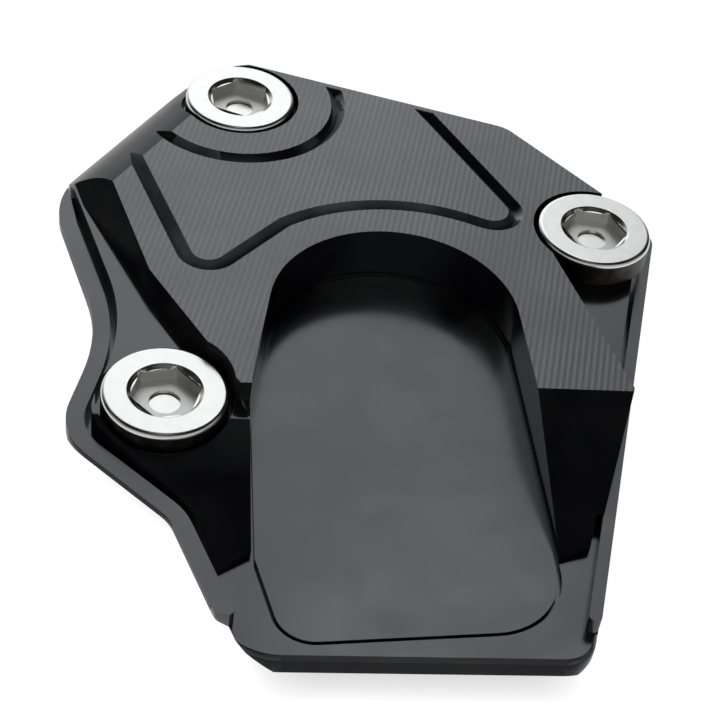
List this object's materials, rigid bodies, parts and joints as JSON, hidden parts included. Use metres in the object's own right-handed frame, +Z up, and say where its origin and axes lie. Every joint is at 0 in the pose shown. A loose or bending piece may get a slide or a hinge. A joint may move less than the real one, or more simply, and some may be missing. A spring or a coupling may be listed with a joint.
{
  "type": "kickstand foot enlarger",
  "caption": "Wide flat foot for a motorbike side stand: a rimmed ground plate and a milled horseshoe clamp plate held together by low-head cap screws.",
  "frame": {"origin": "on the ground face, under the middle of the part's box", "axes": "+Z up from the ground, -Y towards the open front of the horseshoe, +X to the right seen from the front"},
  "size_m": [0.0531, 0.0663, 0.0094],
  "materials": {
    "base_plate": "black anodised, glossy",
    "clamp_plate": "black anodised over milled faces",
    "screws": "polished stainless steel"
  },
  "bodies": {
    "root": {"base_plate": "base_plate", "clamp_plate": "clamp_plate", "screw_left": "screws", "screw_back": "screws", "screw_right": "screws"}
  },
  "joints": []
}
